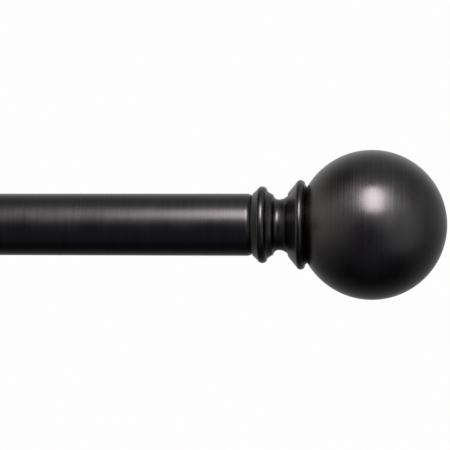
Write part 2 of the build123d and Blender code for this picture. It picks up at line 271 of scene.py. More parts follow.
def joined(target, *others):
    """Put other meshes into the target mesh, keeping their maps."""
    for other in others:
        data = bpy.data.meshes.new("part")
        other.to_mesh(data)
        other.free()
        target.from_mesh(data)
        bpy.data.meshes.remove(data)
    return target


def mesh_object(mesh, name):
    """An object of a mesh, in the scene; the mesh is used up."""
    data = bpy.data.meshes.new(name)
    mesh.to_mesh(data)
    mesh.free()
    made = bpy.data.objects.new(name, data)
    bpy.context.scene.collection.objects.link(made)
    return made


def cut_away(mesh, cutter):
    """Cut one mesh out of another."""
    target, tool = mesh_object(mesh, "target"), mesh_object(cutter, "cutter")
    cut = target.modifiers.new("cut", "BOOLEAN")
    cut.object = tool
    cut.solver = "EXACT"
    depsgraph = bpy.context.evaluated_depsgraph_get()
    finished = bpy.data.meshes.new_from_object(target.evaluated_get(depsgraph), depsgraph=depsgraph)
    result = bmesh.new()
    result.from_mesh(finished)
    for scratch in (target, tool):
        data = scratch.data
        bpy.data.objects.remove(scratch)
        bpy.data.meshes.remove(data)
    bpy.data.meshes.remove(finished)
    return result


# ---- pieces and where they stand ----

def stand(side, out=0.0):
    """The frame of a bracket: on the wall level with the rod, or a distance out along Y."""
    return Matrix.Translation((BRACKET_X if side == "right" else -BRACKET_X, out, 0))


def rod_end(side):
    """The frame of a rod's end: the tube's end face at 0, the finial along +X."""
    if side == "right":
        return Matrix.Translation((TUBE_END, ROD_Y, 0))
    return Matrix.Translation((-TUBE_END, ROD_Y, 0)) @ Matrix.Rotation(math.pi, 4, "Z")


def piece(name, mesh, place, body, look, slot, stands_for, crease=35):
    """Make a finished piece of a mesh; it rides on a body and stands for a CAD node."""
    mesh.transform(place)
    mesh.normal_update()
    for face in mesh.faces:
        face.smooth = True
    for edge in mesh.edges:
        edge.smooth = len(edge.link_faces) == 2 and edge.calc_face_angle() < math.radians(crease)
    made = mesh_object(mesh, name)
    made.data.materials.append(finish(look))
    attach(made, body)
    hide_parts(stands_for)


# ---- nodes of a material or a world ----

def add(material, kind, **values):
    """Add a shader node; a value's name is the node's property or its input's name."""
    node = material.node_tree.nodes.new("ShaderNode" + kind)
    for name, value in values.items():
        if name in node.bl_rna.properties:
            setattr(node, name, value)
        else:
            node.inputs[name.replace("_", " ")].default_value = value
    return node


def feed(material, value, socket):
    """Give a socket another node's output, a number or a colour."""
    if isinstance(value, bpy.types.NodeSocket):
        material.node_tree.links.new(value, socket)
    elif isinstance(value, tuple):
        socket.default_value = (*value, 1)
    else:
        socket.default_value = value


def maths(material, operation, first, second=0.0):
    """A Math node on two values; returns its output."""
    node = add(material, "Math", operation=operation)
    feed(material, first, node.inputs[0])
    feed(material, second, node.inputs[1])
    return node.outputs[0]


def weighed(material, first, weight, second, other_weight):
    """The sum of two values, each times its own weight."""
    one = maths(material, "MULTIPLY", first, weight)
    return maths(material, "ADD", one, maths(material, "MULTIPLY", second, other_weight))


def spread(material, value, low, high, from_low=0.35, from_high=0.65):
    """Stretch a value from one range onto another, without passing its ends."""
    node = add(
        material, "MapRange", From_Min=from_low, From_Max=from_high, To_Min=low, To_Max=high,
    )
    feed(material, value, node.inputs["Value"])
    return node.outputs[0]


def mixed(material, share, first, second, **settings):
    """Mix two colours by a share from 0 to 1; returns the colour."""
    mix = add(material, "Mix", data_type="RGBA", **settings)
    feed(material, share, mix.inputs["Factor"])
    feed(material, first, mix.inputs["A"])
    feed(material, second, mix.inputs["B"])
    return mix.outputs["Result"]


def axes(material, vector):
    """The X, Y and Z of a vector."""
    apart = add(material, "SeparateXYZ")
    feed(material, vector, apart.inputs[0])
    return apart.outputs


def object_space(material):
    """A point's place in its object's own space, which is the frame's."""
    return add(material, "TexCoord").outputs["Object"]


def cloud(material, size_mm, detail=3.0):
    """Soft noise whose blotches are about size_mm across; returns its value."""
    mapping = add(material, "Mapping", Scale=[1 / (size_mm * MM)] * 3)
    feed(material, object_space(material), mapping.inputs["Vector"])
    noise = add(material, "TexNoise", Scale=1.0, Detail=detail, Roughness=0.55)
    feed(material, mapping.outputs[0], noise.inputs["Vector"])
    return noise.outputs["Fac"]


def lathe_lines(material, per_mm, round_the_axis, detail=2.0):
    """Noise drawn out round the axis, as fine turning lines are; returns its value."""
    lathe = axes(material, add(material, "UVMap", uv_map="lathe").outputs["UV"])
    turn = maths(material, "MULTIPLY", lathe["Y"], 2 * math.pi)
    spot = add(material, "CombineXYZ")
    feed(material, maths(material, "MULTIPLY", lathe["X"], per_mm / MM), spot.inputs["X"])
    for axis, wave in (("Y", "COSINE"), ("Z", "SINE")):
        across = maths(material, "MULTIPLY", maths(material, wave, turn), round_the_axis)
        feed(material, across, spot.inputs[axis])
    noise = add(material, "TexNoise", Scale=1.0, Detail=detail, Roughness=0.6)
    feed(material, spot.outputs[0], noise.inputs["Vector"])
    return noise.outputs["Fac"]


def shader(name, metallic, roughness, anisotropic=0.0, coat=0.0, specular=0.5):
    """A new material and its Principled shader."""
    material = bpy.data.materials.new(name)
    material.use_nodes = True
    surface = material.node_tree.nodes["Principled BSDF"]
    values = {
        "Metallic": metallic, "Roughness": roughness, "Anisotropic": anisotropic,
        "Coat Weight": coat, "Coat Roughness": 0.25, "Specular IOR Level": specular,
    }
    for socket, value in values.items():
        surface.inputs[socket].default_value = value
    return material, surface


def dress(material, surface, colour, roughness, height, relief, depth_mm):
    """Give a surface its colour, its roughness and its relief."""
    feed(material, colour, surface.inputs["Base Color"])
    feed(material, roughness, surface.inputs["Roughness"])
    bump = add(material, "Bump", Strength=relief, Distance=depth_mm * MM)
    feed(material, height, bump.inputs["Height"])
    feed(material, bump.outputs["Normal"], surface.inputs["Normal"])


def scaled(colour, factor):
    """A colour made lighter or darker."""
    return tuple(min(1.0, channel * factor) for channel in colour[:3])


# ---- finishes ----

# Colour of the painted shade in the creases round a rod's end.
CREASE_SHADE_COLOUR = (0.025, 0.023, 0.024)

# Painted shade round a rod's end, dark bands where its creases fall into shade: (from the tube's end face,
# half its width), both in mm.
TUBE_CREASES = [(0.0, 0.95)]
COLLAR_CREASES = [
    (3.65, 0.3),                # before the small bead's crown
    (6.15, 0.4),                # between the small bead and the ledge
    (9.35, 0.35),               # under the ledge's rim
    (14.75, 0.4),               # at the foot of the flank's step
    (19.75, 0.2),               # before the large bead's crown
    (22.6, 0.6),                # round the ball's seat
]


def shaded_in_creases(material, colour, creases):
    """Lay painted shade over a colour, in dark bands at the creases round a rod's end."""
    reach = maths(material, "ABSOLUTE", axes(material, object_space(material))["X"])
    crease_shade = 0.0
    for middle, half in creases:
        away = maths(material, "ABSOLUTE", maths(material, "SUBTRACT", reach, TUBE_END + middle * MM))
        crease = spread(material, away, 1.0, 0.0, 0.5 * half * MM, 1.3 * half * MM)
        crease_shade = maths(material, "MAXIMUM", crease, crease_shade)
    return mixed(material, crease_shade, colour, CREASE_SHADE_COLOUR)


def brushed_bronze(name, bronze, brushing, roughness, anisotropic, lacquer=0.0, creases=()):
    """Dark bronze brushed round the lathe's axis, with rubbed streaks, soft mottling and painted shade in
    creases.
    """
    material, surface = shader(name, 1.0, roughness, anisotropic, coat=lacquer)
    fine = lathe_lines(material, per_mm=9.0, round_the_axis=0.9)
    coarse = lathe_lines(material, per_mm=2.0, round_the_axis=0.5, detail=4.0)
    mottle = cloud(material, 14.0)
    lines = weighed(material, fine, 0.6, coarse, 0.4)
    shade = spread(material, weighed(material, lines, 0.65, mottle, 0.35), 0.0, 1.0)
    colour = mixed(material, shade, scaled(bronze, 0.78), scaled(bronze, 1.22))
    if creases:
        # Painted shade: the colour darkens in the creases round a rod's end.
        colour = shaded_in_creases(material, colour, creases)
    rough_lines = spread(material, lines, roughness - 0.05, roughness + 0.05)
    rough = maths(material, "ADD", rough_lines, spread(material, mottle, -0.03, 0.03))
    dress(material, surface, colour, rough, lines, relief=brushing, depth_mm=0.02)
    tangent = add(material, "Tangent", direction_type="UV_MAP", uv_map="lathe")
    feed(material, tangent.outputs[0], surface.inputs["Tangent"])
    return material


def cast_bronze(name, bronze, roughness, grain, wear=0.35):
    """A baked bronze coat on a cast or pressed part: fine orange peel, rubbed lighter on its edges."""
    material, surface = shader(name, 0.7, roughness)
    peel = cloud(material, 0.9, detail=2.0)
    mottle = cloud(material, 9.0)
    shape = add(material, "NewGeometry")
    worn = spread(material, shape.outputs["Pointiness"], 0.0, 1.0, 0.52, 0.60)
    shade = spread(material, weighed(material, mottle, 0.8, worn, wear), 0.0, 1.0, 0.3, 0.75)
    colour = mixed(material, shade, scaled(bronze, 1.0), scaled(bronze, 2.0))
    rough = spread(material, mottle, roughness - 0.05, roughness + 0.06)
    dress(material, surface, colour, rough, peel, relief=grain, depth_mm=0.03)
    return material


def mottled(name, metallic, roughness, dark, light, blotch_mm, grain_mm, relief, depth_mm, specular=0.5):
    """A finish between two colours, in blotches that are glossy and dull by turns, over a fine even grain."""
    material, surface = shader(name, metallic, sum(roughness) / 2, specular=specular)
    mottle = cloud(material, blotch_mm)
    colour = mixed(material, spread(material, mottle, 0.0, 1.0), dark, light)
    rough = spread(material, mottle, *roughness)
    dress(material, surface, colour, rough, cloud(material, grain_mm), relief, depth_mm)
    return material


def moulded(name, colour, roughness, specular=0.4):
    """Moulded plastic or pressed fibre."""
    return mottled(
        name, 0.0, (roughness - 0.05, roughness + 0.05), scaled(colour, 0.85), scaled(colour, 1.15),
        blotch_mm=6.0, grain_mm=0.6, relief=0.2, depth_mm=0.03, specular=specular,
    )


def zinc_plate(name):
    """Zinc plate with dull patches."""
    return mottled(
        name, 1.0, (0.24, 0.38), (0.48, 0.49, 0.5), (0.66, 0.66, 0.64),
        blotch_mm=2.5, grain_mm=0.5, relief=0.15, depth_mm=0.02,
    )


def finish(look):
    """The named finish, made once and found again after that."""
    wanted = bpy.context.scene.rod_finish
    bronze, nylon, satin = wanted.bronze, wanted.nylon, wanted.satin
    fine_brushing, fine_satin = 0.6 * wanted.brushing, 1.02 * satin
    makers = {
        "rod bronze": lambda: brushed_bronze(
            look, scaled(bronze, 0.66), wanted.brushing, 1.1 * satin, anisotropic=0.4, lacquer=0.35,
            creases=TUBE_CREASES,
        ),
        "ball bronze": lambda: brushed_bronze(look, bronze, wanted.brushing, satin, anisotropic=0.6),
        "collar bronze": lambda: brushed_bronze(
            look, scaled(bronze, 0.9), fine_brushing, fine_satin, anisotropic=0.3, creases=COLLAR_CREASES,
        ),
        "arm bronze": lambda: brushed_bronze(look, bronze, fine_brushing, fine_satin, anisotropic=0.3),
        "cast bronze": lambda: cast_bronze(look, bronze, roughness=0.38, grain=wanted.grain),
        "screw bronze": lambda: cast_bronze(look, bronze, roughness=0.3, grain=0.3 * wanted.grain, wear=0.03),
        "zinc plate": lambda: zinc_plate(look),
        "black nylon": lambda: moulded(look, nylon, roughness=0.45),
        "black fibre": lambda: moulded(look, scaled(nylon, 0.3), roughness=0.9, specular=0.08),
        "bronze plastic": lambda: moulded(look, scaled(bronze, 0.45), roughness=0.35),
        "grey nylon": lambda: moulded(look, wanted.plug_grey, roughness=0.5),
    }
    return bpy.data.materials.get(look) or makers[look]()


# ---- the rod and its finials ----

def tube_outline(radius, length):
    """Tube from -length to 0, its end rolled in to a soft lip."""
    bore = radius - TUBE_WALL
    lip, drop = mm(1.9, 0.5)
    bend = (lip**2 + drop**2) / (2 * drop)
    sweep = math.degrees(math.asin(lip / bend))
    outside = arc((-lip, radius - bend), bend, 90, 90 - sweep, 8)
    inside = arc((-lip, bore - bend), bend, 90 - sweep, 90, 8)
    return [(-length, bore), (-length, radius), *outside, (0, radius - drop), (0, bore - drop), *inside]


def trim_outline():
    """Rolled lip outside the tube's open end and the sleeve inside it."""
    bore, slide_r = TUBE_R - TUBE_WALL, INNER_R + 0.05 * MM
    lip, lip_r, sleeve = -1.5 * MM, TUBE_R - 0.2 * MM, 12 * MM
    return rounded([
        (lip, slide_r, 0.35 * MM), (lip, lip_r, 1.0 * MM), (0, lip_r, 0), (0, bore, 0),
        (sleeve, bore, 0), (sleeve, slide_r, 0),
    ], steps=6)


def washer_outline():
    """Flat ring with softened rims."""
    hole, soft = STUD_R + 0.3 * MM, 0.12 * MM
    return rounded([(0, hole, 0), (0, WASHER_R, soft), (WASHER_T, WASHER_R, soft), (WASHER_T, hole, 0)])


def neck_outline():
    """The collar: foot, small bead, hollowed ledge, waist, stepped flank, large bead and the ball's seat."""
    hole, foot_r, foot_soft = STUD_R + 0.2 * MM, 12.7 * MM, 0.1 * MM
    small, large = mm(4.5, 13.55), mm(20.1, 16.45)
    small_r, small_from, small_to = mm(2.1, 2.65, 6.3)
    large_r, large_from = mm(1.8, 18.45)
    ledge, hollow, rim = mm(6.42, 13.95), mm(7.45, 13.12), mm(8.6, 12.48)
    rim_edge = [mm(8.78, 12.34), mm(9.05, 11.95)]
    ledge_end, waist, waist_end = mm(9.0, 11.94), mm(11.2, 10.33), mm(15.1, 12.12)
    step_edge = [mm(15.1, 13.05), mm(15.16, 13.18)]
    seat_r, seat_sphere = 15.5 * MM, BALL_R + 0.02 * MM

    def bead_angle(centre, radius, along):
        return math.degrees(math.acos((along - centre[0]) / radius))

    points = [(WASHER_T, hole), (WASHER_T, foot_r - foot_soft), (WASHER_T + foot_soft, foot_r)]
    small_bow = bead_angle(small, small_r, small_from), bead_angle(small, small_r, small_to)
    points += arc(small, small_r, *small_bow, 20) + three_point_arc(ledge, hollow, rim, 8) + rim_edge
    # The rim's edge takes the place of the arc's first three points.
    points += tangent_arc(waist, ledge_end, 12)[::-1][3:]
    points += tangent_arc(waist, waist_end, 12)[1:] + step_edge
    points += arc(large, large_r, bead_angle(large, large_r, large_from), 0, 24)
    seat = left_angle(seat_sphere, seat_r), left_angle(seat_sphere, hole)
    return points + arc((BALL_AT, 0), seat_sphere, *seat, 16)


def ball_outline():
    """The hollow ball, from its mouth round to the far pole and back along the inside."""
    inner_r = BALL_R - BALL_WALL
    outside = arc((BALL_AT, 0), BALL_R, left_angle(BALL_R, BALL_MOUTH), 0, 96)
    inside = arc((BALL_AT, 0), inner_r, 0, left_angle(inner_r, BALL_MOUTH), 32)
    return [(along, 0.0 if radius < ON_AXIS else radius) for along, radius in outside + inside]


def threaded(start, end, crest_r, depth, pitch):
    """A screw thread about X: one ridge spun and drawn along the axis, then cut square at both ends."""
    per_turn = 28
    turns = math.ceil((end - start) / pitch) + 2
    ridge = [(0, crest_r - depth), (0.42, crest_r), (0.58, crest_r), (1.0, crest_r - depth)]
    mesh = bmesh.new()
    verts = [mesh.verts.new((start + (share - 1.5) * pitch, radius, 0)) for share, radius in ridge]
    edges = [mesh.edges.new(pair) for pair in zip(verts, verts[1:])]
    bmesh.ops.spin(
        mesh, geom=verts + edges, cent=(0, 0, 0), axis=(1, 0, 0), dvec=(pitch / per_turn, 0, 0),
        angle=2 * math.pi * turns, steps=per_turn * turns, use_merge=False, use_duplicate=False,
    )
    bmesh.ops.remove_doubles(mesh, verts=mesh.verts, dist=2 * CLOSE)
    for at, outwards in ((start, -1), (end, 1)):
        bmesh.ops.bisect_plane(
            mesh, geom=mesh.verts[:] + mesh.edges[:] + mesh.faces[:], dist=MERGE,
            plane_co=(at, 0, 0), plane_no=(outwards, 0, 0), clear_outer=True,
        )
    bmesh.ops.holes_fill(mesh, edges=mesh.edges, sides=0)
    return outward(mesh)


def stud_mesh():
    """The finial's threaded stud, with a bevelled point at each end."""
    mouth_at = BALL_AT - math.sqrt((BALL_R - BALL_WALL)**2 - BALL_MOUTH**2)
    from_end, to_end = -14.0 * MM, mouth_at + 13 * MM
    depth, pitch, run_out, bevel = mm(0.45, 1.411, 0.3, 0.4)
    root_r = STUD_R - depth
    thread = threaded(from_end + run_out, to_end - run_out, STUD_R, depth, pitch)
    core = spun([
        (from_end, 0), (from_end, root_r - bevel), (from_end + bevel, root_r),
        (to_end - bevel, root_r), (to_end, root_r - bevel), (to_end, 0),
    ], closed=False, steps=48)
    return joined(thread, core)


# ---- the brackets ----

def slot_ring(mesh, radius, at):
    """An oblong ring of the plate's outline, standing across Y at the given place."""
    segments = 96
    turned = Matrix.Rotation(math.pi / 2, 4, "X") @ Matrix.Rotation(math.pi / segments, 4, "Z")
    ring = bmesh.ops.create_circle(
        mesh, radius=radius, segments=segments, matrix=Matrix.Translation((0, at, 0)) @ turned
    )["verts"]
    for vert in ring:
        vert.co.z += PLATE_REACH if vert.co.z > 0 else -PLATE_REACH
    return ring


def hole_ring(mesh, radius, at, height):
    """A round ring across Y for a screw hole's rim."""
    return bmesh.ops.create_circle(
        mesh, radius=radius, segments=64,
        matrix=Matrix.Translation((0, at, height)) @ Matrix.Rotation(math.pi / 2, 4, "X"),
    )["verts"]


def ring_edges(mesh, *rings):
    """The edges that run round these rings of vertices."""
    found = []
    for ring in rings:
        members = set(ring)
        found += [edge for edge in mesh.edges if set(edge.verts) <= members]
    return found


def bridge(mesh, rings):
    """Join each ring of vertices to the next one."""
    for lower, upper in zip(rings, rings[1:]):
        bmesh.ops.bridge_loops(mesh, edges=ring_edges(mesh, lower, upper))


def plate_mesh():
    """Pressed oblong plate: rolled edge, flat face, two countersunk holes and a flat back."""
    roll, roll_steps, back_soft = 1.6 * MM, 8, 0.2 * MM
    hole_r, sink_r, sink_soft, sink_lip = mm(2.3, 4.3, 0.1, 0.06)
    mesh = bmesh.new()
    rings = [slot_ring(mesh, PLATE_R - back_soft, 0), slot_ring(mesh, PLATE_R, -back_soft)]
    for i in range(roll_steps + 1):
        angle = math.radians(90 * i / roll_steps)
        inset, rise = roll * (1 - math.cos(angle)), roll * math.sin(angle)
        rings.append(slot_ring(mesh, PLATE_R - inset, -(PLATE_T - roll) - rise))
    bridge(mesh, rings)
    backs, fronts = [rings[0]], [rings[-1]]
    for height in (-HOLE_PITCH / 2, HOLE_PITCH / 2):
        hole = [
            hole_ring(mesh, hole_r, 0, height),
            hole_ring(mesh, hole_r, -(PLATE_T - sink_r + hole_r), height),
            hole_ring(mesh, sink_r, -PLATE_T + sink_lip, height),
            hole_ring(mesh, sink_r + sink_soft, -PLATE_T, height),
        ]
        bridge(mesh, hole)
        backs.append(hole[0])
        fronts.append(hole[-1])
    for flat in (backs, fronts):
        bmesh.ops.triangle_fill(mesh, edges=ring_edges(mesh, *flat), use_beauty=True)
    return outward(mesh)


def socket_outline():
    """Flared foot on the plate, straight tube and thick clamp collar with a softened mouth."""
    foot_r, foot_t, flare, tube_r, collar_r = mm(10.5, 2.4, 9.0, 7.0, 8.6)
    mouth, collar, bore, floor = mm(54.0, 41.5, 4.8, 6.0)
    foot_top = (PLATE_T + foot_t, foot_r - 0.4 * MM)
    flare_end = (PLATE_T + flare, tube_r)
    foot = rounded([
        (PLATE_T, 0, 0), (PLATE_T, foot_r, 0.5 * MM), (*foot_top, 0.35 * MM), (*flare_end, 0),
    ])[:-1]
    return foot + tangent_arc(flare_end, foot_top, 14)[::-1][1:] + rounded([
        (PLATE_T + flare + 1 * MM, tube_r, 0), (collar - 1.5 * MM, tube_r, 0.8 * MM),
        (collar, collar_r, 0.6 * MM), (mouth, collar_r, 1.2 * MM), (mouth, bore, 0.45 * MM),
        (floor, bore, 0), (floor, 0, 0),
    ], steps=6)


def post_mesh():
    """The arm's round post, slotted underneath for the projection screw's tip."""
    inner, shoulder = mm(17.0, 66.0)
    slot_from, slot_width, slot_floor, slot_length = mm(20.0, 3.4, 3.85, 40.0)
    outline = rounded([(inner, 0, 0), (inner, POST_R, 0.6 * MM), (shoulder, POST_R, 0), (shoulder, 0, 0)])
    slot = block(
        (slot_length, slot_width, POST_R), (slot_from + slot_length / 2, 0, -slot_floor - POST_R / 2),
    )
    return cut_away(lathe_map(spun(outline, steps=96)), lathe_map(slot))


def cup_mesh():
    """The cradle's strap: a half ring spun under the rod, its two walls, tapered sides and round tips."""
    inner_r, outer_r, lift, wall_height = mm(12.95, 16.15, 0.15, 8.85)
    width, tip_width, tip_round, rim_round = mm(16.0, 12.0, 4.5, 0.8)
    mesh = bmesh.new()
    corners = ((-0.5, inner_r), (0.5, inner_r), (0.5, outer_r), (-0.5, outer_r))
    start = mesh.faces.new([mesh.verts.new((share * width, -reach, 0)) for share, reach in corners])
    spun_end = bmesh.ops.spin(
        mesh, geom=[start, *start.edges, *start.verts], cent=(0, 0, 0), axis=(1, 0, 0), dvec=(0, 0, 0),
        angle=math.pi, steps=48, use_merge=False, use_duplicate=False,
    )["geom_last"]
    for end in [start] + [item for item in spun_end if isinstance(item, bmesh.types.BMFace)]:
        pull(mesh, [end], (0, 0, wall_height))
        mesh.faces.remove(end)
    bmesh.ops.remove_doubles(mesh, verts=mesh.verts, dist=MERGE)
    for vert in mesh.verts:
        share = (vert.co.z + outer_r) / (outer_r + wall_height)
        vert.co.x *= 1 + (tip_width / width - 1) * share
    outward(mesh)
    tip_corners = [
        edge for edge in mesh.edges
        if all(abs(vert.co.z - wall_height) < CLOSE for vert in edge.verts)
        and abs(edge.verts[0].co.x - edge.verts[1].co.x) < CLOSE
    ]
    soften(mesh, tip_corners, tip_round, 10)
    sharp = math.radians(60)
    rims = [edge for edge in mesh.edges if len(edge.link_faces) == 2 and edge.calc_face_angle() > sharp]
    soften(mesh, rims, rim_round, 4)
    return outward(moved(mesh, z=lift))


def boss_cove(root_r, neck_r):
    """The cove by which a boss grows out of the cradle's cup."""
    return tangent_arc((BOSS_ROOT + BOSS_COVE, neck_r), (BOSS_ROOT, root_r), 10)[::-1]


def rear_boss_outline():
    """The cradle's rear boss, with a bead round the post."""
    reach, root_r, neck_r, bead_r, mouth_r, mouth_soft = mm(22.9, 6.6, 5.3, 7.4, 5.8, 0.15)
    bead_from, bead_to = BOSS_ROOT + BOSS_COVE + 0.5 * MM, reach - 0.4 * MM
    bead = three_point_arc((bead_from, neck_r), ((bead_from + bead_to) / 2, bead_r), (bead_to, mouth_r), 20)
    return [(BOSS_ROOT, 0), *boss_cove(root_r, neck_r), *bead, (reach, mouth_r - mouth_soft), (reach, 0)]


def front_boss_outline():
    """The cradle's front boss, drilled for the rod lock screw."""
    reach, root_r, body_r, bevel, hole = mm(20.4, 6.4, 4.9, 0.7, 2.05)
    return boss_cove(root_r, body_r) + rounded([
        (reach - bevel, body_r, 0), (reach, body_r - bevel, 0.15 * MM),
        (reach, hole, 0.2 * MM), (BOSS_ROOT, hole, 0),
    ])


def cradle_mesh():
    """Cup and both bosses, drawn about the rod's axis."""
    rear = towards("wall", spun(rear_boss_outline(), steps=72))
    front = towards("room", spun(front_boss_outline(), steps=72))
    return joined(cup_mesh(), rear, front)


# ---- the screws and plugs ----

def lobed_knob(head_r, thickness, base):
    """Finger knob with nine scallops round its rim and a softened face, from base outwards along X."""
    lobes, per_lobe = 9, 14
    scallop_at, scallop_r, rim_round = head_r + 0.3 * MM, 0.2 * head_r, 0.55 * MM
    mesh = bmesh.new()
    bmesh.ops.create_circle(
        mesh, cap_ends=True, radius=head_r, segments=lobes * per_lobe,
        matrix=Matrix.Translation((base, 0, 0)) @ Matrix.Rotation(math.pi / 2, 4, "Y"),
    )
    for vert in mesh.verts:
        angle = math.atan2(vert.co.z, vert.co.y)
        off = (angle * lobes / (2 * math.pi) + 0.5) % 1 - 0.5
        off *= 2 * math.pi / lobes
        across = scallop_at * math.sin(off)
        if abs(across) < scallop_r:
            reach = scallop_at * math.cos(off) - math.sqrt(scallop_r**2 - across**2)
            shrink = min(1.0, reach / head_r)
            vert.co.y *= shrink
            vert.co.z *= shrink
    pull(mesh, mesh.faces[:], (thickness, 0, 0))
    rims = [edge for edge in mesh.edges if abs(edge.verts[0].co.x - edge.verts[1].co.x) < CLOSE]
    soften(mesh, rims, rim_round, 3)
    return outward(mesh)


def thumb_screw(tip_at, tip_r, tip_length, reach, head_r, head_t):
    """Clamp screw from its tip outwards: dog point, threaded shank, collar and lobed knob."""
    shank_r, collar_t, overlap = mm(2.0, 1.6, 0.3)
    sunk = tip_length + overlap
    collar_r, seat_r = 0.7 * head_r, 0.55 * head_r
    point = spun(rounded([(0, 0, 0), (0, tip_r, 0.2 * MM), (sunk, tip_r, 0), (sunk, 0, 0)]), steps=48)
    thread = threaded(tip_length, reach - collar_t, shank_r, depth=0.35 * MM, pitch=0.7 * MM)
    collar = spun(rounded([
        (reach - collar_t, 0, 0), (reach - collar_t, seat_r, 0.2 * MM), (reach, collar_r, 0),
        (reach + overlap, collar_r, 0), (reach + overlap, 0, 0),
    ]), steps=64)
    return moved(joined(thread, point, collar, lobed_knob(head_r, head_t, reach)), x=tip_at)


def recess_blade(face):
    """One tapered arm pair of the driver's cross, sunk into a screw's head from its face."""
    depth, width, proud, span, floor_span = mm(1.4, 0.85, 0.3, 4.4, 2.2)
    floor_width = 0.8 * width
    blade = block((depth + proud, span, width), (face + (depth - proud) / 2, 0, 0))
    floor = [vert for vert in blade.verts if vert.co.x > face]
    bmesh.ops.scale(blade, verts=floor, vec=(1, floor_span / span, floor_width / width))
    return blade


def wall_screw_mesh():
    """Countersunk screw with a cross recess, drawn into the wall along +X."""
    head_front = -PLATE_T + 0.1 * MM
    head_r, rim_soft, neck_r, thread_r, root_r, point_r, point_t = mm(4.1, 0.1, 2.15, 2.0, 1.55, 0.35, 0.4)
    # Two rings of points on the head's flat face keep it smooth round the cross.
    face_rings = [(head_front, ring_r, 0) for ring_r in mm(2.7, 3.8)]
    head = spun(rounded([
        (head_front, 0, 0), *face_rings, (head_front, head_r, rim_soft),
        (head_front + head_r - neck_r, neck_r, 0), (0, neck_r, 0), (0, 0, 0),
    ]), steps=64)
    for turn in (0, math.pi / 2):
        blade = recess_blade(head_front)
        blade.transform(Matrix.Rotation(turn, 4, "X"))
        head = cut_away(head, blade)
    point = SCREW_LENGTH - SCREW_POINT
    thread = threaded(0, point, thread_r, depth=0.5 * MM, pitch=1.6 * MM)
    tip = spun([
        (point, 0), (point, root_r), (SCREW_LENGTH - point_t, point_r), (SCREW_LENGTH, 0),
    ], closed=False, steps=32)
    return joined(head, thread, tip)


def anchor_mesh():
    """Ribbed nylon wall plug with a closed nose, drawn into the wall along +X."""
    mouth, outer_r, nose_r, bore = mm(2.2, 3.0, 2.7, 2.0)
    ribs, rib_pitch, rib_depth, rib_back = 7, 3 * MM, 0.5 * MM, 0.1 * MM
    collar_end = mouth + 6 * MM
    nose, nose_end, bevel = SCREW_LENGTH + 0.4 * MM, SCREW_LENGTH + 5.4 * MM, 0.9 * MM
    corners = [(mouth, bore, 0), (mouth, outer_r, 0.25 * MM), (collar_end, outer_r, 0.1 * MM)]
    for i in range(ribs):
        valley = collar_end + i * rib_pitch
        corners += [(valley + rib_back, outer_r - rib_depth, 0), (valley + rib_pitch, outer_r, 0.05 * MM)]
    corners += [
        (nose, nose_r, 0), (nose_end - bevel, nose_r, 0.4 * MM), (nose_end, nose_r - bevel, 0.4 * MM),
        (nose_end, 0, 0), (SCREW_LENGTH, 0, 0), (SCREW_LENGTH - SCREW_POINT, bore, 0),
    ]
    return spun(rounded(corners), steps=64)


# ---- what a user would change ----

class RodFinish(PropertyGroup):
    """Colours and depth of the finishes."""

    bronze: FloatVectorProperty(
        name="Bronze", description="Colour of the dark bronze", subtype="COLOR", size=3,
        default=(0.095, 0.0895, 0.088), min=0, max=1,
    )
    nylon: FloatVectorProperty(
        name="Nylon", description="Colour of the glide and the end plugs", subtype="COLOR", size=3,
        default=(0.02, 0.02, 0.021), min=0, max=1,
    )
    plug_grey: FloatVectorProperty(
        name="Wall plugs", description="Colour of the wall plugs", subtype="COLOR", size=3,
        default=(0.42, 0.43, 0.44), min=0, max=1,
    )
    brushing: FloatProperty(
        name="Brushing", description="Depth of the brushed lines", subtype="FACTOR",
        default=0.25, min=0, max=1,
    )
    satin: FloatProperty(
        name="Satin", description="Roughness of the rod and the balls", subtype="FACTOR",
        default=0.295, min=0.05, max=1,
    )
    grain: FloatProperty(
        name="Casting grain", description="Depth of the grain on the cast and pressed parts",
        subtype="FACTOR", default=0.3, min=0, max=1,
    )


class StudioSetup(PropertyGroup):
    """Floor, lights and camera."""

    floor_drop: FloatProperty(
        name="Floor drop", description="Distance from the rod down to the floor", subtype="DISTANCE",
        unit="LENGTH", default=0.5, min=0.05, max=2,
    )
    floor_size: FloatProperty(
        name="Floor size", description="Length of the floor's side", subtype="DISTANCE", unit="LENGTH",
        default=6.0, min=0.5, max=20,
    )
    key_power: FloatProperty(
        name="Key light", description="Power of the key light", subtype="POWER", unit="POWER",
        default=2.04, min=0,
    )
    camera_turn: FloatProperty(
        name="Camera turn", description="Camera's angle round the finial", subtype="ANGLE", unit="ROTATION",
        default=math.radians(5.3),
    )
    camera_roll: FloatProperty(
        name="Camera roll", description="Camera's tilt to one side", subtype="ANGLE", unit="ROTATION",
        default=math.radians(0.08),
    )
    camera_distance: FloatProperty(
        name="Camera distance", description="Camera's distance from the finial's collar", subtype="DISTANCE",
        unit="LENGTH", default=0.7685, min=0.1, max=5,
    )
    camera_lens: FloatProperty(
        name="Camera lens", description="Focal length for a 36 mm wide sensor", subtype="DISTANCE_CAMERA",
        unit="CAMERA", default=150.6, min=10, max=400,
    )


# ---- operators that make the pieces ----

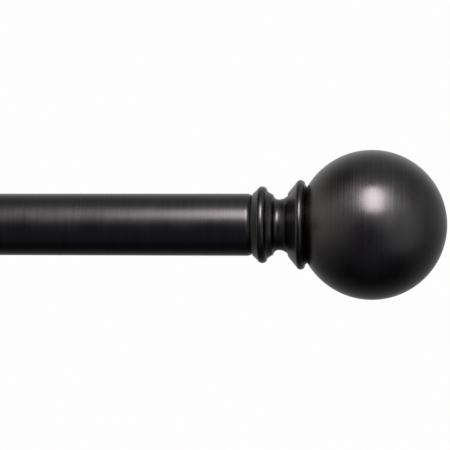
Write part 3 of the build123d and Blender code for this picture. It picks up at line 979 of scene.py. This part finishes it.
class CURTAINROD_OT_tubes(Operator):
    """Make the outer and inner tubes and the trim ring between them"""

    bl_idname = "curtain_rod.tubes"
    bl_label = "Tubes"

    def execute(self, context):
        outer = tube_outline(TUBE_R, TUBE_END - TUBE_START)
        inner = tube_outline(INNER_R, INNER_LENGTH)
        open_end = Matrix.Translation((TUBE_START, ROD_Y, 0))
        bronze, plastic = ("rod bronze", "rod_metal"), ("bronze plastic", "trim_plastic")
        for name, outline, place, body, looks, node in (
            ("outer_rod_tube", outer, rod_end("right"), "outer_rod", bronze, "outer_tube"),
            ("inner_rod_tube", inner, rod_end("left"), "inner_rod", bronze, "inner_tube"),
            ("tube_trim", trim_outline(), open_end, "outer_rod", plastic, "tube_trim_ring"),
        ):
            piece(name, lathe_map(spun(outline)), place, body, *looks, node)
        return {"FINISHED"}


class CURTAINROD_OT_collars(Operator):
    """Make the turned collar and the fibre washer of each finial"""

    bl_idname = "curtain_rod.collars"
    bl_label = "Collars"

    def execute(self, context):
        for side in SIDES:
            piece(
                f"{side}_collar", lathe_map(spun(neck_outline(), steps=160)), rod_end(side), f"{side}_finial",
                "collar bronze", "collar_metal", f"{side}_finial_neck",
            )
            piece(
                f"{side}_washer_ring", lathe_map(spun(washer_outline())), rod_end(side), f"{side}_washer",
                "black fibre", "black_fibre", f"{side}_finial_washer",
            )
        return {"FINISHED"}


class CURTAINROD_OT_balls(Operator):
    """Make the hollow ball of each finial"""

    bl_idname = "curtain_rod.balls"
    bl_label = "Balls"

    def execute(self, context):
        for side in SIDES:
            ball = lathe_map(spun(ball_outline(), steps=192))
            piece(
                f"{side}_ball_shell", ball, rod_end(side), f"{side}_finial",
                "ball bronze", "ball_metal", f"{side}_finial_ball",
            )
        return {"FINISHED"}


class CURTAINROD_OT_studs(Operator):
    """Make the threaded stud of each finial"""

    bl_idname = "curtain_rod.studs"
    bl_label = "Studs"

    def execute(self, context):
        for side in SIDES:
            piece(
                f"{side}_stud", stud_mesh(), rod_end(side), f"{side}_finial",
                "zinc plate", "zinc_steel", f"{side}_finial_stud", crease=25,
            )
        return {"FINISHED"}


class CURTAINROD_OT_wall_plates(Operator):
    """Make the pressed wall plate of each bracket"""

    bl_idname = "curtain_rod.wall_plates"
    bl_label = "Wall plates"

    def execute(self, context):
        for side in SIDES:
            piece(
                f"{side}_plate", plate_mesh(), stand(side), "wall_mounts",
                "cast bronze", "bracket_metal", f"{side}_wall_plate",
            )
        return {"FINISHED"}


class CURTAINROD_OT_arms(Operator):
    """Make the socket, the slotted post and the cradle of each bracket's arm"""

    bl_idname = "curtain_rod.arms"
    bl_label = "Bracket arms"

    def execute(self, context):
        for side in SIDES:
            socket = lathe_map(spun(socket_outline(), steps=96))
            piece(
                f"{side}_socket", towards("room", socket), stand(side), "wall_mounts",
                "arm bronze", "bracket_metal", f"{side}_arm_socket",
            )
            piece(
                f"{side}_post", towards("room", post_mesh()), stand(side), f"{side}_arm",
                "arm bronze", "bracket_metal", f"{side}_arm_post",
            )
            piece(
                f"{side}_rod_cradle", cradle_mesh(), stand(side, ROD_Y), f"{side}_arm",
                "cast bronze", "bracket_metal", f"{side}_cradle", crease=50,
            )
        return {"FINISHED"}


class CURTAINROD_OT_thumb_screws(Operator):
    """Make the rod lock screw and the projection screw of each bracket"""

    bl_idname = "curtain_rod.thumb_screws"
    bl_label = "Thumbscrews"

    def execute(self, context):
        rod_tip = TUBE_R + 0.05 * MM
        rod_reach, arm_tip, arm_reach, clamp = mm(23.8, 3.9, 11.6, 48.0)
        for side in SIDES:
            lock = thumb_screw(
                rod_tip, tip_r=1.5 * MM, tip_length=0.6 * MM, reach=rod_reach - rod_tip,
                head_r=6.2 * MM, head_t=4.6 * MM,
            )
            piece(
                f"{side}_rod_thumb_screw", towards("room", lock), stand(side, ROD_Y), f"{side}_rod_lock",
                "screw bronze", "screw_metal", f"{side}_rod_lock_screw",
            )
            stop = thumb_screw(
                arm_tip, tip_r=1.4 * MM, tip_length=1.3 * MM, reach=arm_reach - arm_tip,
                head_r=5.2 * MM, head_t=3.8 * MM,
            )
            piece(
                f"{side}_arm_thumb_screw", towards("floor", stop), stand(side, -clamp),
                f"{side}_projection_lock", "screw bronze", "screw_metal", f"{side}_projection_screw",
            )
        return {"FINISHED"}


class CURTAINROD_OT_wall_fixings(Operator):
    """Make the cross-head screws and the wall plugs of each bracket"""

    bl_idname = "curtain_rod.wall_fixings"
    bl_label = "Wall fixings"

    def execute(self, context):
        for side in SIDES:
            for make, name, look, slot, node in (
                (wall_screw_mesh, "screws", "screw bronze", "screw_metal", "wall_screws"),
                (anchor_mesh, "plugs", "grey nylon", "grey_nylon", "wall_anchors"),
            ):
                upper = moved(towards("wall", make()), z=HOLE_PITCH / 2)
                lower = moved(towards("wall", make()), z=-HOLE_PITCH / 2)
                pair = joined(upper, lower)
                piece(f"{side}_{name}", pair, stand(side), "wall_mounts", look, slot, f"{side}_{node}")
        return {"FINISHED"}


class CURTAINROD_OT_hidden_parts(Operator):
    """Give the end plugs, inserts, glide and bosses their finishes"""

    bl_idname = "curtain_rod.hidden_parts"
    bl_label = "Hidden parts"

    def execute(self, context):
        looks = {
            "black nylon": ("outer_tube_plug", "inner_tube_plug", "inner_tube_glide"),
            "zinc plate": ("outer_tube_insert", "inner_tube_insert", "right_ball_boss", "left_ball_boss"),
        }
        for look, nodes in looks.items():
            for node in nodes:
                materials = frame["nodes"][node].data.materials
                materials.clear()
                materials.append(finish(look))
        return {"FINISHED"}


# ---- stage ----

def key_light(aim, power):
    """One large soft light up at the front, which the camera doesn't see."""
    place = aim + Vector((0.027, -0.391, 0.31))
    lamp = bpy.data.lights.new("key", "AREA")
    lamp.shape = "ELLIPSE"
    lamp.size, lamp.size_y = 0.24, 0.36
    lamp.energy = power
    lamp.color = (1.06, 1.0, 1.045)
    light = bpy.data.objects.new("key", lamp)
    direction = aim - place
    light.matrix_world = Matrix.Translation(place) @ direction.to_track_quat("-Z", "Y").to_matrix().to_4x4()
    light.visible_camera = False
    bpy.context.scene.collection.objects.link(light)


def wall_light(world, facing, height, tint, levels):
    """One wall's light, as far as it faces: its levels by height, from -1 straight down to 1 straight up."""
    ramp_node = add(world, "ValToRGB")
    feed(world, height, ramp_node.inputs["Fac"])
    ramp = ramp_node.color_ramp
    while len(ramp.elements) < len(levels):
        ramp.elements.new(0.5)
    for stop, (at, level) in zip(ramp.elements, levels):
        stop.position = (at + 1) / 2
        stop.color = (*(level * channel for channel in tint), 1)
    return mixed(world, facing, (0, 0, 0), ramp_node.outputs["Color"], clamp_factor=True)


def room_walls(across, ahead):
    """The walls of the room that shows in reflections: (axis, sign, tint, levels by height)."""
    low, top = 0.025, 0.34
    front = (
        (-1, low), (-0.85, 0.08), (-0.3, 0.04), (0, 0.05), (0.3, 0.33), (0.6, 0.6), (0.85, 0.8), (1, top),
    )
    left = (
        (-1, low), (-0.85, 0.02), (-0.5, 0.17), (0, 0.6), (0.3, 0.68), (0.52, 0.5), (0.72, 0.2),
        (0.88, 0.0), (1, top),
    )
    right = ((-1, low), (-0.85, 0.01), (-0.55, 0.15), (0, 0.22), (0.5, 0.24), (1, top))
    cool_front = ((-1, 0.03), (-0.3, 0.04), (0.1, 0.0))         # a faint cool light low on the front wall
    behind = ((-1, low), (-0.85, 0.11), (-0.25, 0.34), (0, 0.6), (0.6, 0.62), (1, top))
    return (
        (ahead, -1, (0.98, 0.97, 1.06), front),
        (across, -1, (1.02, 1.0, 0.98), left),
        (across, 1, (0.95, 1.02, 1.02), right),
        (ahead, -1, (0.3, 0.2, 1.0), cool_front),
        (ahead, 1, (0.98, 1.0, 1.02), behind),
    )


def studio_world(scene):
    """White to the camera and the floor; in reflections, a room of four walls and two pale cards."""
    world = bpy.data.worlds.new("studio")
    world.use_nodes = True
    scene.world = world
    world.node_tree.nodes.clear()
    direction = add(world, "TexCoord").outputs["Generated"]
    across, ahead, up = axes(world, direction)
    height = spread(world, up, 0, 1, -1, 1)
    level_part = maths(world, "SUBTRACT", 1.0001, maths(world, "MULTIPLY", up, up))
    lights = []
    for axis, sign, tint, levels in room_walls(across, ahead):
        facing = maths(world, "MAXIMUM", maths(world, "MULTIPLY", axis, sign), 0.0)
        facing = maths(world, "DIVIDE", maths(world, "MULTIPLY", facing, facing), level_part)
        lights.append(wall_light(world, facing, height, tint, levels))

    # Each card: where it hangs, the cosines at its rim and at its full middle, and its level.
    cards = (
        (Vector((1, -0.9, -0.15)), 0.76, 0.97, 0.34),
        (Vector((0.3, -0.9, 0.26)), 0.9, 0.99, 0.35),
    )
    card_tint = (0.97, 1.0, 1.03)
    for aim, rim, middle, level in cards:
        card = add(world, "VectorMath", operation="DOT_PRODUCT")
        feed(world, direction, card.inputs[0])
        card.inputs[1].default_value = aim.normalized()
        facing = spread(world, card.outputs["Value"], 0.0, 1.0, rim, middle)
        lights.append(wall_light(world, facing, height, card_tint, ((-1, level), (1, level))))
    room = lights[0]
    for light in lights[1:]:
        room = mixed(world, 1.0, room, light, blend_type="ADD")

    plain = add(world, "Background", Color=(0.985, 0.985, 0.985, 1))
    glow = add(world, "Background")
    feed(world, room, glow.inputs["Color"])
    seen = add(world, "LightPath")
    choose = add(world, "MixShader")
    plainly = maths(world, "MAXIMUM", seen.outputs["Is Camera Ray"], seen.outputs["Is Diffuse Ray"])
    feed(world, plainly, choose.inputs[0])
    feed(world, glow.outputs[0], choose.inputs[1])
    feed(world, plain.outputs[0], choose.inputs[2])
    feed(world, choose.outputs[0], add(world, "OutputWorld").inputs["Surface"])


def lay_floor(studio):
    """A pale paper floor, which stays out of reflections."""
    ground = bmesh.new()
    bmesh.ops.create_grid(
        ground, x_segments=1, y_segments=1, size=studio.floor_size / 2,
        matrix=Matrix.Translation((0, 0, -studio.floor_drop)),
    )
    floor = mesh_object(ground, "floor")
    paper, surface = shader("pale paper", 0.0, 0.9, specular=0.1)
    tone = spread(paper, cloud(paper, 120.0), 0.0, 1.0, 0.3, 0.7)
    feed(paper, mixed(paper, tone, (0.915, 0.915, 0.91), (0.935, 0.935, 0.93)), surface.inputs["Base Color"])
    floor.data.materials.append(paper)
    floor.visible_glossy = False


def set_camera(scene, studio):
    """Look at the tube beside the collar, from the front and a little to the right."""
    aim = Vector((TUBE_END - 10.8 * MM, ROD_Y, -0.13 * MM))
    lens = bpy.data.cameras.new("camera")
    lens.lens = studio.camera_lens
    lens.sensor_width = 36
    lens.clip_start = 0.01
    camera = bpy.data.objects.new("camera", lens)
    camera.matrix_world = (
        Matrix.Translation(aim)
        @ Matrix.Rotation(studio.camera_turn, 4, "Z")
        @ Matrix.Translation((0, -studio.camera_distance, 0))
        @ Matrix.Rotation(math.pi / 2, 4, "X")
        @ Matrix.Rotation(studio.camera_roll, 4, "Z")
    )
    scene.collection.objects.link(camera)
    scene.camera = camera


class CURTAINROD_OT_studio(Operator):
    """Lay the floor, hang the lights and set the camera"""

    bl_idname = "curtain_rod.studio"
    bl_label = "Studio"

    def execute(self, context):
        scene = context.scene
        studio = scene.rod_studio
        lay_floor(studio)
        key_light(Vector((TUBE_END + BALL_AT, ROD_Y, 0)), studio.key_power)
        studio_world(scene)
        scene.view_settings.view_transform = "Standard"
        set_camera(scene, studio)
        return {"FINISHED"}


# ---- sidebar ----

MAKING_ORDER = (
    CURTAINROD_OT_studio,
    CURTAINROD_OT_tubes,
    CURTAINROD_OT_collars,
    CURTAINROD_OT_balls,
    CURTAINROD_OT_studs,
    CURTAINROD_OT_wall_plates,
    CURTAINROD_OT_arms,
    CURTAINROD_OT_thumb_screws,
    CURTAINROD_OT_wall_fixings,
    CURTAINROD_OT_hidden_parts,
)


class CURTAINROD_PT_sidebar(Panel):
    """Finish, studio and pieces of the curtain rod"""

    bl_label = "Curtain Rod"
    bl_idname = "CURTAINROD_PT_sidebar"
    bl_space_type = "VIEW_3D"
    bl_region_type = "UI"
    bl_category = "Curtain Rod"

    def draw(self, context):
        layout = self.layout
        for group in (context.scene.rod_finish, context.scene.rod_studio):
            box = layout.box()
            for name in group.__annotations__:
                box.prop(group, name)
        for operator in MAKING_ORDER:
            layout.operator(operator.bl_idname)


CLASSES = (RodFinish, StudioSetup, *MAKING_ORDER, CURTAINROD_PT_sidebar)


def register():
    for cls in CLASSES:
        bpy.utils.register_class(cls)
    bpy.types.Scene.rod_finish = PointerProperty(type=RodFinish)
    bpy.types.Scene.rod_studio = PointerProperty(type=StudioSetup)


def unregister():
    del bpy.types.Scene.rod_studio
    del bpy.types.Scene.rod_finish
    for cls in reversed(CLASSES):
        bpy.utils.unregister_class(cls)


def main():
    register()
    for operator in MAKING_ORDER:
        group, name = operator.bl_idname.split(".")
        getattr(getattr(bpy.ops, group), name)()


if __name__ == "__main__":
    main()
